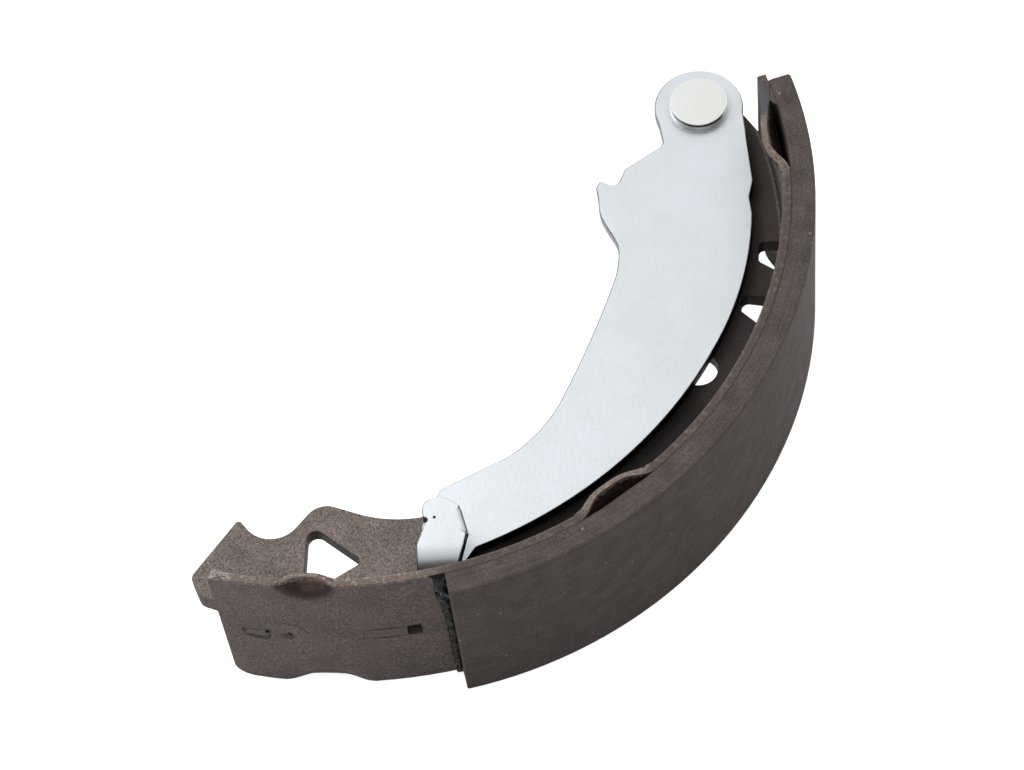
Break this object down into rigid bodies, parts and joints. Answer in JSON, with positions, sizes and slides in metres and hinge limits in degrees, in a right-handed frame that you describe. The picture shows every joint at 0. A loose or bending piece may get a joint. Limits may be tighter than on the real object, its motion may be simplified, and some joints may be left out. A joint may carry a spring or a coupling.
{
  "type": "drum brake shoe",
  "caption": "Curved drum brake shoe: bonded friction lining on a dented rim, flat web with anchor end and spring hole, and a plated handbrake lever with a cable hook on a headed pin.",
  "frame": {"origin": "on the axis of the drum that the shoe runs in, level with the rim's lower edge, which the shoe lies on", "axes": "+Z along the drum axis, away from the face it lies on; +X towards the middle of the shoe's toe half; the pivot of the handbrake lever lies at +X +Y and the anchor end at -Y"},
  "size_m": [0.1366, 0.1413, 0.0461],
  "materials": {
    "phosphated_steel": "dull brown-grey phosphated sheet steel",
    "friction_material": "ground moulded friction material with fine metal and mineral specks",
    "bond_adhesive": "black cured adhesive",
    "zinc_plating": "bright bluish zinc plating, faintly mottled",
    "spring_steel": "oiled dark spring steel"
  },
  "bodies": {
    "shoe": {"shoe_web": "phosphated_steel", "shoe_rim": "phosphated_steel", "friction_lining": "friction_material", "lining_adhesive": "bond_adhesive", "pivot_pin": "zinc_plating", "wave_washer": "spring_steel", "retaining_clip": "spring_steel"},
    "lever": {"handbrake_lever": "zinc_plating"}
  },
  "joints": [
    {"name": "lever_pivot", "type": "hinge", "parent": "shoe", "child": "lever", "pos_m": [0.075, 0.03339, 0.0265], "axis": [0, 0, 1], "range_deg": [-25, 0]}
  ]
}
